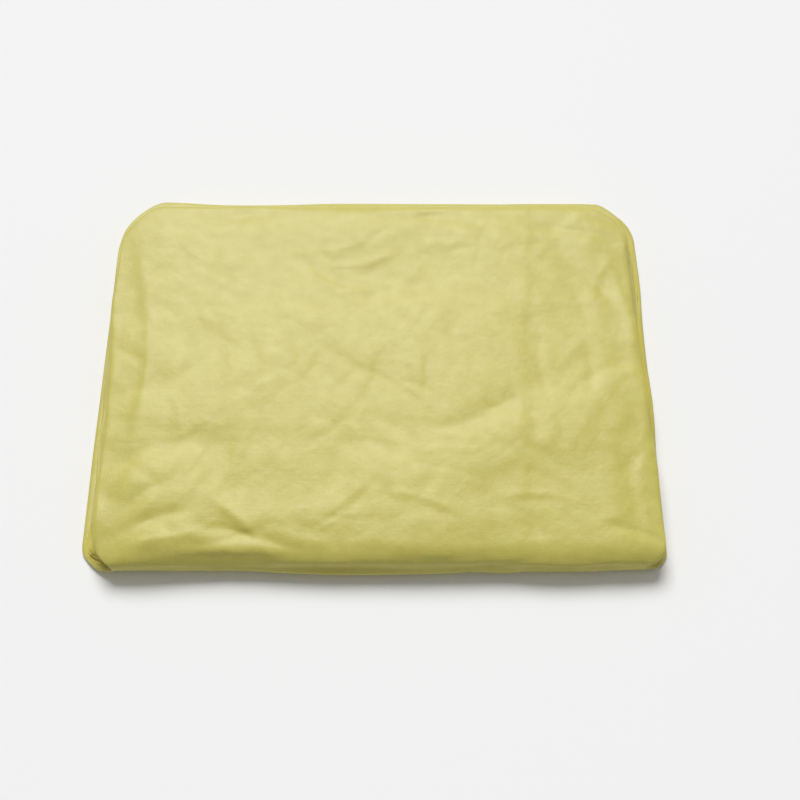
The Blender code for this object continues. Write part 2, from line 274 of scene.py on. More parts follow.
one_place = np.array([0.1])
print("a hill's height, for one place:", round(float(hills(one_place, one_place, 0.05, 0.05, 1)[0]), 3))

# %% [markdown]
# ## Cut the cloth
#
# The front panel starts as a flat grid, as cloth starts on a cutting table. An even grid would spend its
# points where nothing shows. So the rows are crowded where the cloth shows and bends, and few where it lies
# hidden inside the pile. Each point remembers its place across and along the cut. All later steps work from
# these two numbers.

# %% The flat grid of the front panel
ROW_COLUMNS = ("stretch", "far_steps", "middle_steps", "near_steps")
ROWS = (("neck_end", 12, 14, 7), ("upper_far_fold", 0, 8, 0), ("top", 26, 100, 14), ("near_fold", 0, 24, 0),
        ("underside", 12, 16, 7), ("lower_far_fold", 0, 8, 0), ("hem_end", 12, 14, 7))
FAR_PART, NEAR_PART = 0.048, 0.022
FLAT_STEPS, SIDE_BEND_STEPS, FLAP_STEPS = 146, 7, 2


def select_nothing():
    if bpy.context.object and bpy.context.object.mode != "OBJECT":
        bpy.ops.object.mode_set(mode="OBJECT")
    bpy.ops.object.select_all(action="DESELECT")


def points_of(obj):
    flat = np.empty(3 * len(obj.data.vertices))
    obj.data.vertices.foreach_get("co", flat)
    return flat.reshape(-1, 3)


def move_points(obj, points):
    obj.data.vertices.foreach_set("co", np.ascontiguousarray(points).ravel())
    obj.data.update()


# %% Where the rows and columns lie
row_places = [0.0]
for stretch, table_row in zip(stretches, ROWS):
    steps = dict(zip(ROW_COLUMNS, table_row))
    parts = [(stretch["length"], steps["middle_steps"])]
    if steps["far_steps"]:
        middle = stretch["length"] - FAR_PART - NEAR_PART
        parts = [(FAR_PART, steps["far_steps"]), (middle, steps["middle_steps"]),
                 (NEAR_PART, steps["near_steps"])]
        if stretch["turn"] < 0:  # this run starts at the near side
            parts.reverse()
    for length, count in parts:
        row_places += [row_places[-1] + length / count * (i + 1) for i in range(count)]
row_places = np.minimum(row_places, CLOTH_LENGTH)

# across: -1 to 1 is the flat run, 1 to 2 the side's bend, 2 to 3 the flap laid in
flat_places = np.linspace(-1, 1, FLAT_STEPS + 1)
bend_places = 1 + np.linspace(0, 1, SIDE_BEND_STEPS + 1)[1:]
flap_places = 2 + np.linspace(0, 1, FLAP_STEPS + 1)[1:]
side_places = np.concatenate([bend_places, flap_places])
column_places = np.concatenate([-side_places[::-1], flat_places, side_places])

print("rows:", len(row_places), "columns:", len(column_places))

# %% The grid itself
select_nothing()
bpy.ops.mesh.primitive_grid_add(
    x_subdivisions=len(column_places) - 1, y_subdivisions=len(row_places) - 1, size=1, location=(0, 0, 0))
front = bpy.context.object
front.name = front.data.name = "front_panel_cloth"
unit = points_of(front) + 0.5
column_index = np.rint(unit[:, 0] * (len(column_places) - 1)).astype(int)
row_index = np.rint(unit[:, 1] * (len(row_places) - 1)).astype(int)
across, along = column_places[column_index], row_places[row_index]
print("points on the grid:", len(unit))

# %% [markdown]
# ## Lay the sides in
#
# First fold: each side goes round a small half circle and comes back as a flap under the panel. We could
# turn the points of each side about an edge with a hinge-like rotation, but a real side rolls, so each
# point is led round the bend by its distance on the cloth. A point now has a sideways place and a depth
# below the cloth's face. At the pile's corners the cloth reaches less far, which rounds the corners off as
# seen from above.

# %% Fold the sides
def corner_reach(line, side):
    """How far the cloth reaches to a side, with the pile's corners rounded off."""
    far_end = np.where(line["z"] > MID_HEIGHT, UPPER_FAR, LOWER_FAR)
    reach = line[side].copy()
    for inside, corner in ((far_end - line["y"], FAR_CORNER[side]), (line["y"] - NEAR_EDGE, NEAR_CORNER[side]),
                           (line["from_end"], END_CORNER)):
        d = np.minimum(corner, np.maximum(inside, 0) + CORNER_START)
        reach = np.minimum(reach, line[side] - corner + np.sqrt(corner ** 2 - (corner - d) ** 2))
    return reach


def lay_sides_in(across, line):
    """Sideways place, depth below the face, and distance from the middle on the flat cut."""
    side_bend = line["side_bend"]
    reach = np.where(across < 0, corner_reach(line, "left"), corner_reach(line, "right")) - side_bend
    size = np.abs(across)
    bend = np.pi * np.clip(size - 1, 0, 1)
    flap = SIDE_FLAP * np.clip(size - 2, 0, 1)
    x = reach * np.clip(size, 0, 1) + side_bend * np.sin(bend) - flap
    depth = side_bend * (1 - np.cos(bend))
    flat = reach * np.clip(size, 0, 1) + side_bend * bend + flap
    return np.sign(across) * x, depth, np.sign(across) * flat


line = along_fold_line(along)
sideways, depth, flat_across = lay_sides_in(across, line)
print("half width after the first fold, in mm:", round(1000 * float(np.abs(sideways).max()), 1))

# %% [markdown]
# ## Keep the flat cut as the UV map
#
# An unwrap could only guess how the folded cloth lies flat. We know it, so the UV map holds each point's
# place on the flat cut in metres. The bonding points of the nonwoven then follow the cloth through every
# fold, as on real cloth.

# %% UV map from the flat cut
uv_layer = front.data.uv_layers.active
corner_vertex = np.empty(len(front.data.loops), dtype=np.int32)
front.data.loops.foreach_get("vertex_index", corner_vertex)
uv_layer.data.foreach_set("uv", np.column_stack([flat_across, along])[corner_vertex].ravel())
print("UV map:", uv_layer.name, "with", len(corner_vertex), "corners")

# %% [markdown]
# ## Main creases
#
# The top lies smooth but not flat. Soft troughs fan out from the near left corner, one runs along each
# side, and a few pinch the near fold. They could be sculpted with the Crease brush. We place them in a
# table instead, some where the photograph shows them and the rest by guess, so that each has its own
# length, depth and width and can be changed. Their places are given on the top, with the near fold rolled
# out flat in front of it. A trough has a low shoulder beside it, as pushed cloth has.

# %% Main creases
CREASE_COLUMNS = ("x0", "y0", "x1", "y1", "half_width", "depth")
CREASES = (
    # near left corner, fanning out
    (-0.182, -0.140, -0.122, -0.116, 0.0065, 0.0014),
    (-0.178, -0.151, -0.112, -0.134, 0.0050, -0.0010),
    (-0.176, -0.126, -0.138, -0.092, 0.0045, 0.0009),
    (-0.184, -0.118, -0.160, -0.066, 0.0040, 0.0007),
    (-0.126, -0.128, -0.048, -0.148, 0.0060, 0.0010),
    (-0.116, -0.104, -0.068, -0.153, 0.0042, -0.0008),
    # along the near fold
    (0.060, -0.160, 0.150, -0.152, 0.0032, 0.0009),
    (0.096, -0.154, 0.172, -0.146, 0.0030, -0.0006),
    (-0.030, -0.157, 0.066, -0.163, 0.0040, 0.0005),
    (-0.178, -0.163, -0.100, -0.168, 0.0040, 0.0008),
    # near right corner
    (0.150, -0.128, 0.190, -0.140, 0.0040, 0.0009),
    (0.164, -0.060, 0.167, -0.150, 0.0055, 0.0006),
    # right edge
    (0.172, 0.092, 0.181, -0.010, 0.0045, -0.0008),
    (0.181, -0.005, 0.176, -0.105, 0.0045, -0.0006),
    (0.142, 0.088, 0.178, 0.044, 0.0050, 0.0008),
    (0.128, -0.034, 0.180, 0.004, 0.0055, 0.0006),
    (0.118, 0.122, 0.186, 0.106, 0.0050, 0.0010),
    # left edge and far side
    (-0.174, 0.104, -0.170, -0.074, 0.0045, -0.0007),
    (-0.176, 0.060, -0.150, 0.085, 0.0050, 0.0006),
    (-0.128, 0.124, -0.050, 0.130, 0.0050, 0.0008),
    (-0.020, 0.129, 0.090, 0.122, 0.0055, 0.0006),
)
CREASE_BOW = 0.06  # how far a crease bows out, as a share of its length
FADE_IN, FADE_OUT = (-0.12, 0.30), (0.70, 1.12)  # as shares of a crease's length
SHOULDER_PLACE, SHOULDER_WIDTH, SHOULDER_HEIGHT = 2.2, 1.7, 0.35  # in half widths, and in depths


def crease_relief(x, y, rows):
    relief = np.zeros_like(x)
    for row in rows:
        c = dict(zip(CREASE_COLUMNS, row))
        run = np.array((c["x1"] - c["x0"], c["y1"] - c["y0"]))
        length = np.hypot(*run)
        t = ((x - c["x0"]) * run[0] + (y - c["y0"]) * run[1]) / length ** 2
        bow = CREASE_BOW * length * np.sin(np.pi * np.clip(t, 0, 1))
        off = ((x - c["x0"]) * run[1] - (y - c["y0"]) * run[0]) / length + bow
        fade = ramp(t, *FADE_IN) * (1 - ramp(t, *FADE_OUT))
        off_share = off / c["half_width"]
        trough = 1 / (1 + off_share ** 2) ** 1.5
        shoulder = np.exp(-((off_share - SHOULDER_PLACE) / SHOULDER_WIDTH) ** 2)
        relief -= c["depth"] * fade * (trough - SHOULDER_HEIGHT * shoulder)
    return relief


print("main creases:", len(CREASES))


# %% [markdown]
# ## Fine creases, steps and crumple
#
# Between the main creases a thin coated cloth carries many small ones. Most of them run towards the nearest
# corner, because cloth pulls there, so we draw them at random round that direction. The edges of the
# sleeves laid inside press through as low steps. And the whole sheet is crumpled: hills whose lower half is
# folded up, so that soft facets meet in valleys. A bump map alone could give all that, but it leaves the
# outline smooth, so only the finest part is bump.

# %% Fine creases
FINE_CREASES, FINE_CREASE_SEED = 110, 19
FINE_AREA_X, FINE_AREA_Y = (-0.18, 0.18), (-0.158, 0.128)
PULL_X, PULL_Y, PULL_SPREAD = 0.19, 0.16, 0.45  # where the corners pull from, and the spread of directions
FINE_HALF_LENGTH, FINE_HALF_WIDTH, FINE_DEPTH = (0.010, 0.038), (0.0022, 0.0046), (0.00012, 0.00048)


def fine_crease_rows(count, seed):
    """Rows for the crease table, drawn with a seed; two of three are troughs, the others ridges."""
    draw = np.random.default_rng(seed)
    rows = []
    for _ in range(count):
        x, y = draw.uniform(*FINE_AREA_X), draw.uniform(*FINE_AREA_Y)
        pull = (math.copysign(PULL_X, x) - x, math.copysign(PULL_Y, y) - y)
        angle = math.atan2(pull[1], pull[0]) + draw.normal(0, PULL_SPREAD)
        half_length = draw.uniform(*FINE_HALF_LENGTH)
        dx, dy = half_length * math.cos(angle), half_length * math.sin(angle)
        depth = draw.uniform(*FINE_DEPTH) * draw.choice((1, 1, -1))
        rows.append((x - dx, y - dy, x + dx, y + dy, draw.uniform(*FINE_HALF_WIDTH), depth))
    return tuple(rows)


all_creases = CREASES + fine_crease_rows(FINE_CREASES, FINE_CREASE_SEED)
print("creases in all:", len(all_creases))

# %% Steps where layers end below the top
STEP_COLUMNS = ("x0", "y0", "x1", "y1", "width", "drop")
STEPS = (
    (-0.118, 0.150, -0.092, -0.150, 0.0050, 0.0005),
    (0.096, -0.150, 0.122, 0.150, 0.0050, 0.0005),
    (-0.190, -0.046, 0.190, -0.072, 0.0060, 0.0004),
    (0.190, 0.062, -0.190, 0.040, 0.0060, 0.0004),
)
STEP_WAVE, STEP_WAVE_CELL, STEP_WAVE_SEED = 0.004, 0.06, 41


def step_relief(x, y):
    wave = STEP_WAVE * hills(x, y, STEP_WAVE_CELL, STEP_WAVE_CELL, STEP_WAVE_SEED)
    relief = np.zeros_like(x)
    for row in STEPS:
        s = dict(zip(STEP_COLUMNS, row))
        run = np.array((s["x1"] - s["x0"], s["y1"] - s["y0"]))
        off = ((x - s["x0"]) * run[1] - (y - s["y0"]) * run[0]) / np.hypot(*run)
        relief -= s["drop"] * (ramp(off + wave, -s["width"], s["width"]) - 0.5)
    return relief


# %% Crumple
CRUMPLE_COLUMNS = ("cell_x", "cell_y", "turn", "height", "seed")
CRUMPLE = (
    (0.074, 0.052, 0.38, 0.00170, 3),
    (0.038, 0.026, -0.55, 0.00070, 7),
    (0.016, 0.012, 0.85, 0.00022, 11),
)
CRUMPLE_WARP, WARP_CELL, WARP_SEED = 0.012, 0.07, 5
VALLEY_SOFTNESS = 0.1  # how round the valleys are
MEAN_HEIGHT = 0.45  # taken off, so that the top stays level


def crumple_relief(x, y):
    warp = CRUMPLE_WARP * hills(x, y, WARP_CELL, WARP_CELL, WARP_SEED)
    relief = np.zeros_like(x)
    for row in CRUMPLE:
        c = dict(zip(CRUMPLE_COLUMNS, row))
        cos, sin = math.cos(c["turn"]), math.sin(c["turn"])
        u, v = (x + warp) * cos + (y - warp) * sin, (y - warp) * cos - (x + warp) * sin
        height = hills(u, v, c["cell_x"], c["cell_y"], c["seed"])
        relief += c["height"] * (np.sqrt(height ** 2 + VALLEY_SOFTNESS ** 2) - MEAN_HEIGHT)
    return relief


# %% The whole relief
RELIEF_START = (-0.010, 0.004)  # from the top's far end
RELIEF_END = 0.72  # share of the near fold where the relief starts to fade
# the near fold rolled out in front of the top: y runs on below the place where the bend starts
top, near_fold = stretches[2], stretches[3]
rolled_out = UPPER_FAR - FAR_BEND - (along - top["start"])
shown = ramp(along - top["start"], *RELIEF_START)
shown = shown * (1 - ramp((along - near_fold["start"]) / near_fold["length"], RELIEF_END, 1))
shown = shown * (1 - ramp(np.abs(across), 1.0, 1.5))
relief = shown * (crease_relief(flat_across, rolled_out, all_creases) + step_relief(flat_across, rolled_out)
                  + crumple_relief(flat_across, rolled_out))
print("relief in mm:", round(1000 * relief.min(), 2), "to", round(1000 * relief.max(), 2))

# %% [markdown]
# ## Lay the ends in and close the pile
#
# Second fold: every point goes to its place along the fold line, down by its depth and out by its relief.
# Then the pile settles. Its height falls off towards the rims and the far side, a few broad swells lie
# under the top, the upper half lies a little askew on the lower one, and the lips waver. A Lattice modifier
# could press the pile too. Like a lattice, our function moves space and not one sheet, so layers that lie
# on each other move together and never cross. The underside stays flat, because it lies on the table.

# %% How the pile settles
NEAR_RIM_DROP, NEAR_RIM = 0.10, 0.040
FAR_DROP = 0.12
FAR_RIM_DROP, FAR_RIM = 0.10, 0.040
SIDE_RIM_DROP, SIDE_RIM = 0.12, 0.042
SWELL_COLUMNS = ("x", "y", "half_x", "half_y", "height")
SWELLS = (
    (-0.060, 0.020, 0.090, 0.070, 0.0009),
    (0.085, -0.055, 0.080, 0.060, 0.0008),
    (0.030, 0.085, 0.110, 0.035, -0.0010),
    (-0.135, -0.095, 0.040, 0.035, 0.0007),
    (0.150, 0.060, 0.030, 0.050, -0.0006),
)
SKEW = -0.024  # shift along X for a length along Y, at the full height
LIP_WAVE_X, LIP_WAVE_Y, LIP_WAVE_Z = 0.0026, 0.0030, 0.0008
LIP_CELL, LAYER_CELL = 0.055, 0.0055
LIP_BAND_X, LIP_BAND_Y, LIP_LEVELS = (0.11, 0.19), (0.08, 0.15), (0.02, 0.2)  # where the lips begin to waver
PINCH_X, PINCH_Z = 0.0005, 0.0005
PINCH_BAND, PINCH_LEVELS = (0.150, 0.188), (0.05, 0.3)
LIFT_CELL, LIFT_SEED = 0.08, 23
PINCH_Z_CELLS, PINCH_Z_SEED = (0.030, 0.016), 29
PINCH_X_CELLS, PINCH_X_SEED = (0.013, 0.004), 33
LIP_CELL_ALONG_X = LIP_CELL * 1.4
LIP_X_SEED, LIP_Y_SEED = 31, 37
SWELL_POWER = 3  # swells die away downwards with this power of a layer's level in the pile
print("swells:", len(SWELLS))


def fold_lengthwise(sideways, depth, line):
    return np.column_stack([sideways, line["y"] - line["ny"] * depth, line["z"] - line["nz"] * depth])


# %% Press the pile down
def height_share(x, y):
    share = 1 - FAR_DROP * ramp(y, NEAR_EDGE, LOWER_FAR)
    share = share * (1 - NEAR_RIM_DROP * (1 - ramp(y - NEAR_EDGE, 0, NEAR_RIM)))
    share = share * (1 - FAR_RIM_DROP * (1 - ramp(UPPER_FAR - y, -FAR_SETBACK, FAR_RIM)))
    return share * (1 - SIDE_RIM_DROP * (1 - ramp(PILE_WIDTH / 2 - np.abs(x), 0, SIDE_RIM)))


def swell_height(x, y):
    total = np.zeros_like(x)
    for row in SWELLS:
        s = dict(zip(SWELL_COLUMNS, row))
        total += s["height"] * np.exp(-((x - s["x"]) / s["half_x"]) ** 2 - ((y - s["y"]) / s["half_y"]) ** 2)
    return total


def settle(points):
    """Lower the rims, swell the top, lay the halves askew and let the lips waver; z = 0 stays where it is."""
    x, y, z = points.T
    level = z / PILE_HEIGHT
    pinch = ramp(np.abs(x), *PINCH_BAND) * ramp(level, *PINCH_LEVELS)
    lip_x = ramp(np.abs(x), *LIP_BAND_X) * ramp(level, *LIP_LEVELS)
    lip_y = ramp(np.abs(y), *LIP_BAND_Y) * ramp(level, *LIP_LEVELS)
    wave = np.sin(2 * np.pi * np.clip(level, 0, 1))
    lift = LIP_WAVE_Z * wave * hills(x, y, LIFT_CELL, LIFT_CELL, LIFT_SEED)
    lift += pinch * PINCH_Z * hills(x, y, *PINCH_Z_CELLS, PINCH_Z_SEED)
    moved_x = x + SKEW * y * np.clip(level, 0, 1)
    moved_x += lip_x * LIP_WAVE_X * hills(y + np.sign(x), z, LIP_CELL, LAYER_CELL, LIP_X_SEED)
    moved_x += pinch * PINCH_X * hills(y - np.sign(x), z, *PINCH_X_CELLS, PINCH_X_SEED)
    moved_y = y + lip_y * LIP_WAVE_Y * hills(x + np.sign(y), z, LIP_CELL_ALONG_X, LAYER_CELL, LIP_Y_SEED)
    height = z * height_share(x, y) + swell_height(x, y) * level ** SWELL_POWER + lift
    return np.column_stack([moved_x, moved_y, height])


# %% Fold the front panel
folded = fold_lengthwise(sideways, depth - relief, line)
settled = settle(folded)
move_points(front, settled)
print("folded size in mm:", [round(1000 * float(side), 1) for side in np.ptp(settled, axis=0)])

# %% [markdown]
# ## Give the cloth its thickness
#
# A single sheet of this cloth is about a third of a millimetre thick. We could leave it a bare surface, but
# then its cut ends would be lines with no edge. Solidify adds the wall on the inner side, so the face stays
# where we put it. The grid may have come out with its faces towards the inside, so we look at the highest
# face first and turn them all if need be. Smoothing by angle keeps the cut ends crisp and the bends round.

# %% Helpers for one object at a time
def make_active(obj):
    select_nothing()
    obj.select_set(True)
    bpy.context.view_layer.objects.active = obj


def apply_modifier(obj, kind, **settings):
    make_active(obj)
    modifier = obj.modifiers.new(kind.lower(), kind)
    for key, value in settings.items():
        setattr(modifier, key, value)
    bpy.ops.object.modifier_apply(modifier=modifier.name)


# %% Wall and smooth shading
SHEET_THICKNESS = 0.00035
SMOOTH_ANGLE = math.radians(60)

highest = max(front.data.polygons, key=lambda face: face.center.z)
if highest.normal.z < 0:
    make_active(front)
    bpy.ops.object.mode_set(mode="EDIT")
    bpy.ops.mesh.select_all(action="SELECT")
    bpy.ops.mesh.flip_normals()
    bpy.ops.object.mode_set(mode="OBJECT")
apply_modifier(front, "SOLIDIFY", thickness=SHEET_THICKNESS, offset=-1, use_even_offset=False)
make_active(front)
bpy.ops.object.shade_smooth_by_angle(angle=SMOOTH_ANGLE)
print("front panel triangles:", sum(len(face.vertices) - 2 for face in front.data.polygons))

# %% [markdown]
# ## The layers inside
#
# The backs, the sleeves and the ties lie folded inside. Only their edges can be seen, in the eye of the
# near fold and in the gaps between the lips. We could fold each of them as a sheet too, but nobody would
# see the difference. So each bundle of layers is a thin slab with rounded edges. A slab starts as a cube at
# its real size, is cut across so that it can bend, and its outer edges are bevelled round. Then it goes
# through the same folding as the front panel. Slabs at other depths and widths, a row of the table for
# each, make the stack.

# %% Slabs of folded layers
SLAB_COLUMNS = ("first", "last", "depth", "thickness", "short_left", "short_right", "wave")
SLABS = (
    ("neck_end", "hem_end", 0.0021, 0.0012, 0.0100, 0.0100, 0.0),
    ("neck_end", "hem_end", 0.00395, 0.00060, 0.0026, 0.0048, 0.0016),
    ("neck_end", "hem_end", 0.00462, 0.00062, 0.0046, 0.0030, 0.0018),
    ("near_fold", "near_fold", 0.0056, 0.0010, 0.0042, 0.0038, 0.0012),
    ("near_fold", "near_fold", 0.0067, 0.0010, 0.0030, 0.0052, 0.0012),
    ("near_fold", "near_fold", 0.0078, 0.0011, 0.0052, 0.0036, 0.0012),
    ("near_fold", "near_fold", 0.0090, 0.0013, 0.0038, 0.0048, 0.0012),
)
BEYOND_NECK_SIDE, BEYOND_HEM_SIDE = NECK_TUCK - 0.001, HEM_TUCK - 0.001
SLAB_ROW, SLAB_COLUMN = 0.0045, 0.022  # how far apart the cuts are
SLAB_SIDE = 0.0030  # this much at each side keeps its shape, so the round edge is not stretched
ROUNDING, ROUNDING_STEPS = 0.46, 3  # as a share of the thickness
ROUNDING_ANGLE = math.radians(50)  # only edges sharper than this are rounded
print("slabs:", len(SLABS))


# %% Cut a mesh across
def cut_across(obj, places, axis):
    """Cut a mesh with planes across one axis at the places given."""
    make_active(obj)
    bpy.ops.object.mode_set(mode="EDIT")
    for place in places:
        bpy.ops.mesh.select_all(action="SELECT")
        bpy.ops.mesh.bisect(plane_co=[place * part for part in axis], plane_no=axis)
    bpy.ops.object.mode_set(mode="OBJECT")


# %% A flat slab
def flat_slab(name, length, thickness):
    select_nothing()
    bpy.ops.mesh.primitive_cube_add(size=1, location=(0, 0, 0))
    slab = bpy.context.object
    slab.name = slab.data.name = name
    slab.scale = (2 * WIDEST_REACH, length, thickness)
    bpy.ops.object.transform_apply(location=False, rotation=False, scale=True)
    rows, columns = math.ceil(length / SLAB_ROW), math.ceil(2 * WIDEST_REACH / SLAB_COLUMN)
    cut_across(slab, [length * (i / rows - 0.5) for i in range(1, rows)], (0, 1, 0))
    cut_across(slab, [2 * WIDEST_REACH * (i / columns - 0.5) for i in range(1, columns)], (1, 0, 0))
    apply_modifier(slab, "BEVEL", width=ROUNDING * thickness, segments=ROUNDING_STEPS, limit_method="ANGLE",
                   angle_limit=ROUNDING_ANGLE)
    return slab


# %% Fold a slab
SLAB_WAVE_CELL, SLAB_WAVE_SEED = 0.035, 51
SLAB_WAVE_PER_DEPTH = 900  # turns a slab's depth into its own row of hills


def folded_slab(name, first, last, depth, thickness, short_left, short_right, wave):
    """A slab of layers, first flat beside its fold line, then folded with the pile."""
    by_name = {stretch["name"]: stretch for stretch in stretches}
    begin, end = by_name[first]["start"], by_name[last]["start"] + by_name[last]["length"]
    begin, end = max(begin - BEYOND_NECK_SIDE, 0), min(end + BEYOND_HEM_SIDE, CLOTH_LENGTH)
    slab = flat_slab(name, end - begin, thickness)
    points = points_of(slab)
    along_slab = np.clip((begin + end) / 2 + points[:, 1], begin, end)
    line = along_fold_line(along_slab)
    line["from_end"] = np.minimum(along_slab - begin, end - along_slab)
    own_row = np.full_like(along_slab, SLAB_WAVE_PER_DEPTH * depth)
    for side, sign, short in (("left", -1, short_left), ("right", 1, short_right)):
        here = sign * points[:, 0] > 0
        reach = corner_reach(line, side) - short
        reach += wave * hills(along_slab, own_row, SLAB_WAVE_CELL, 1.0, SLAB_WAVE_SEED + sign)
        edge = WIDEST_REACH - SLAB_SIDE
        inner = np.minimum(np.abs(points[:, 0]), edge) / edge * (reach - SLAB_SIDE)
        outer = np.maximum(np.abs(points[:, 0]) - edge, 0)
        points[here, 0] = (sign * (inner + outer))[here]
    folded = fold_lengthwise(points[:, 0], depth + thickness / 2 - points[:, 2], line)
    move_points(slab, settle(folded))
    return slab


# %% The stack of slabs
slabs = [folded_slab(f"layers_{i}", **dict(zip(SLAB_COLUMNS, row))) for i, row in enumerate(SLABS)]
select_nothing()
for slab in slabs:
    slab.select_set(True)
bpy.context.view_layer.objects.active = slabs[0]
bpy.ops.object.join()
hidden = slabs[0]
hidden.name = hidden.data.name = "inner_layers"
make_active(hidden)
bpy.ops.object.shade_smooth_by_angle(angle=SMOOTH_ANGLE)
print("inner layers triangles:", sum(len(face.vertices) - 2 for face in hidden.data.polygons))

# %% [markdown]
# ## The nonwoven's finish
#
# Spunbonded cloth has marks of its own. Its fibres lie unevenly, so it is cloudy at the scale of a
# fingertip, with short streaks where fibres lie side by side. It is held together by rows of small bonding
# points, pressed in by a hot roller. And the coat crumples in facets finer than our mesh. A picture of
# cloth could show all that, but only at one size and in one light. Nodes work at any distance, and each
# mark is a node group, so both cloths can share it.

# %% Node group helpers
def new_group(name, inputs, outputs):
    """A shader node group with float inputs (name, default) and outputs (name, kind)."""
    group = bpy.data.node_groups.new(name, "ShaderNodeTree")
    for socket, kind, default in inputs:
        item = group.interface.new_socket(socket, in_out="INPUT", socket_type=kind)
        if default is not None:
            item.default_value = default
    for socket, kind in outputs:
        group.interface.new_socket(socket, in_out="OUTPUT", socket_type=kind)
    return group, group.nodes.new("NodeGroupInput"), group.nodes.new("NodeGroupOutput")


def math_node(tree, operation, first, second=None, clamp=False):
    """A Math node; each operand is a socket or a number."""
    node = tree.nodes.new("ShaderNodeMath")
    node.operation = operation
    node.use_clamp = clamp
    for index, value in enumerate((first, second)):
        if value is None:
            continue
        if isinstance(value, (int, float)):
            node.inputs[index].default_value = value
        else:
            tree.links.new(value, node.inputs[index])
    return node.outputs[0]


def noise_node(tree, vector, scale, detail=2.0, roughness=0.5):
    node = tree.nodes.new("ShaderNodeTexNoise")
    tree.links.new(vector, node.inputs["Vector"])
    node.inputs["Scale"].default_value = scale
    node.inputs["Detail"].default_value = detail
    node.inputs["Roughness"].default_value = roughness
    return node.outputs["Fac"]


# %% Cloudy web of fibres
CLOUD_SCALE, CLOUD_DETAIL, CLOUD_ROUGHNESS = 90, 4, 0.6
STREAK_ANGLES, STREAK_SCALE, STREAK_DETAIL = (0.35, 1.75, 2.75), (300, 2600, 1), 2


def build_fibre_web():
    group, given, out = new_group(
        "fibre_web", [("Place", "NodeSocketVector", None)],
        [("Cloud", "NodeSocketFloat"), ("Streaks", "NodeSocketFloat")])
    place = given.outputs["Place"]
    cloud = noise_node(group, place, CLOUD_SCALE, CLOUD_DETAIL, CLOUD_ROUGHNESS)
    streaks = []
    for angle in STREAK_ANGLES:
        turned = group.nodes.new("ShaderNodeMapping")
        turned.inputs["Rotation"].default_value = (0, 0, angle)
        turned.inputs["Scale"].default_value = STREAK_SCALE
        group.links.new(place, turned.inputs["Vector"])
        streaks.append(noise_node(group, turned.outputs["Vector"], 1.0, STREAK_DETAIL))
    total = math_node(group, "ADD", math_node(group, "MAXIMUM", streaks[0], streaks[1]), streaks[2])
    group.links.new(cloud, out.inputs["Cloud"])
    group.links.new(math_node(group, "MULTIPLY", total, 0.5), out.inputs["Streaks"])
    return group


fibre_web = build_fibre_web()
print("group:", fibre_web.name, "nodes:", len(fibre_web.nodes))


# %% Bonding points
BOND_PITCH = 0.0020
DENT_START, DENT_SLOPE = 1.05, 2.2  # how small a dent is, and how steep its sides are


def build_bond_points():
    """Small oval dents in staggered rows, from the flat cut's own coordinates."""
    group, given, out = new_group(
        "bond_points", [("Place", "NodeSocketVector", None), ("Pitch", "NodeSocketFloat", BOND_PITCH)],
        [("Dent", "NodeSocketFloat")])
    split = group.nodes.new("ShaderNodeSeparateXYZ")
    group.links.new(given.outputs["Place"], split.inputs[0])
    turns = math_node(group, "DIVIDE", 2 * math.pi, given.outputs["Pitch"])
    u = math_node(group, "MULTIPLY", split.outputs["X"], turns)
    v = math_node(group, "MULTIPLY", split.outputs["Y"], turns)
    total = math_node(group, "ADD", math_node(group, "COSINE", math_node(group, "ADD", u, v)),
                      math_node(group, "COSINE", math_node(group, "SUBTRACT", u, v)))
    above = math_node(group, "SUBTRACT", total, DENT_START)
    group.links.new(math_node(group, "MULTIPLY", above, DENT_SLOPE, clamp=True), out.inputs["Dent"])
    return group


bond_points = build_bond_points()
print("group:", bond_points.name, "pitch in mm:", 1000 * BOND_PITCH)


# %% Fine crumple of the coat
FACET_COLUMNS = ("scale", "weight")
FACETS = ((48, 0.46), (115, 0.32), (260, 0.15), (620, 0.07))


def build_fine_crumple():
    """Small soft facets, finer than the mesh can hold."""
    group, given, out = new_group(
        "fine_crumple", [("Place", "NodeSocketVector", None)], [("Height", "NodeSocketFloat")])
    place = given.outputs["Place"]
    heights = []
    for row in FACETS:
        facet = dict(zip(FACET_COLUMNS, row))
        centred = math_node(group, "SUBTRACT", noise_node(group, place, facet["scale"], 1), 0.5)
        fold = math_node(group, "ABSOLUTE", centred)
        heights.append(math_node(group, "MULTIPLY", fold, 2 * facet["weight"]))
    total = heights[0]
    for height in heights[1:]:
        total = math_node(group, "ADD", total, height)
    group.links.new(total, out.inputs["Height"])
    return group


fine_crumple = build_fine_crumple()
print("group:", fine_crumple.name, "sizes of facet:", len(FACETS))
